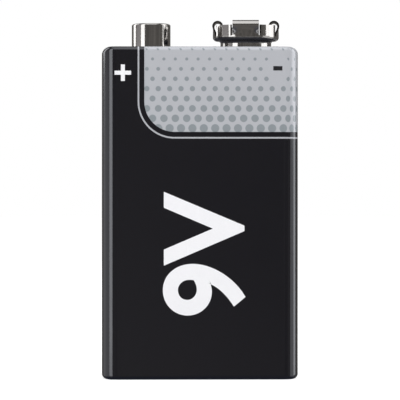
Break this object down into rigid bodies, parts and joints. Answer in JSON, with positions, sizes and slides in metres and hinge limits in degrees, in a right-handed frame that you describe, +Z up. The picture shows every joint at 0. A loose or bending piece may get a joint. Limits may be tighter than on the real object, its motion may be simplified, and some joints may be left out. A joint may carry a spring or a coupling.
{
  "type": "nine volt battery",
  "caption": "Rectangular block battery with a round stud and a crown-shaped spring socket side by side on top.",
  "frame": {"origin": "centre of the bottom of the bounding box, on the surface that the battery stands on", "axes": "+Z up through the terminals; +X along the width, from the positive stud to the negative socket; -Y out of the broad front"},
  "size_m": [0.026, 0.017, 0.0476],
  "materials": {
    "film": "satin",
    "tinned_steel": "satin",
    "fibre_board": "matte",
    "end_plate": "matte",
    "card": "matte",
    "nickel": "polished",
    "nickel_strip": "satin",
    "cell_steel": "satin",
    "nylon": "satin",
    "sleeve": "satin"
  },
  "bodies": {
    "root": {"label_film": "film", "jacket": "tinned_steel", "top_board": "fibre_board", "bottom_plate": "end_plate", "top_card": "card", "bottom_card": "card", "positive_stud": "nickel", "negative_socket": "nickel", "negative_rivet": "nickel", "positive_lead": "nickel_strip", "negative_lead": "nickel_strip", "link_1_2": "nickel_strip", "link_2_3": "nickel_strip", "link_3_4": "nickel_strip", "link_4_5": "nickel_strip", "link_5_6": "nickel_strip", "cell_1_can": "cell_steel", "cell_1_seal": "nylon", "cell_1_end_cap": "cell_steel", "cell_1_sleeve": "sleeve", "cell_2_can": "cell_steel", "cell_2_seal": "nylon", "cell_2_end_cap": "cell_steel", "cell_2_sleeve": "sleeve", "cell_3_can": "cell_steel", "cell_3_seal": "nylon", "cell_3_end_cap": "cell_steel", "cell_3_sleeve": "sleeve", "cell_4_can": "cell_steel", "cell_4_seal": "nylon", "cell_4_end_cap": "cell_steel", "cell_4_sleeve": "sleeve", "cell_5_can": "cell_steel", "cell_5_seal": "nylon", "cell_5_end_cap": "cell_steel", "cell_5_sleeve": "sleeve", "cell_6_can": "cell_steel", "cell_6_seal": "nylon", "cell_6_end_cap": "cell_steel", "cell_6_sleeve": "sleeve"}
  },
  "joints": []
}
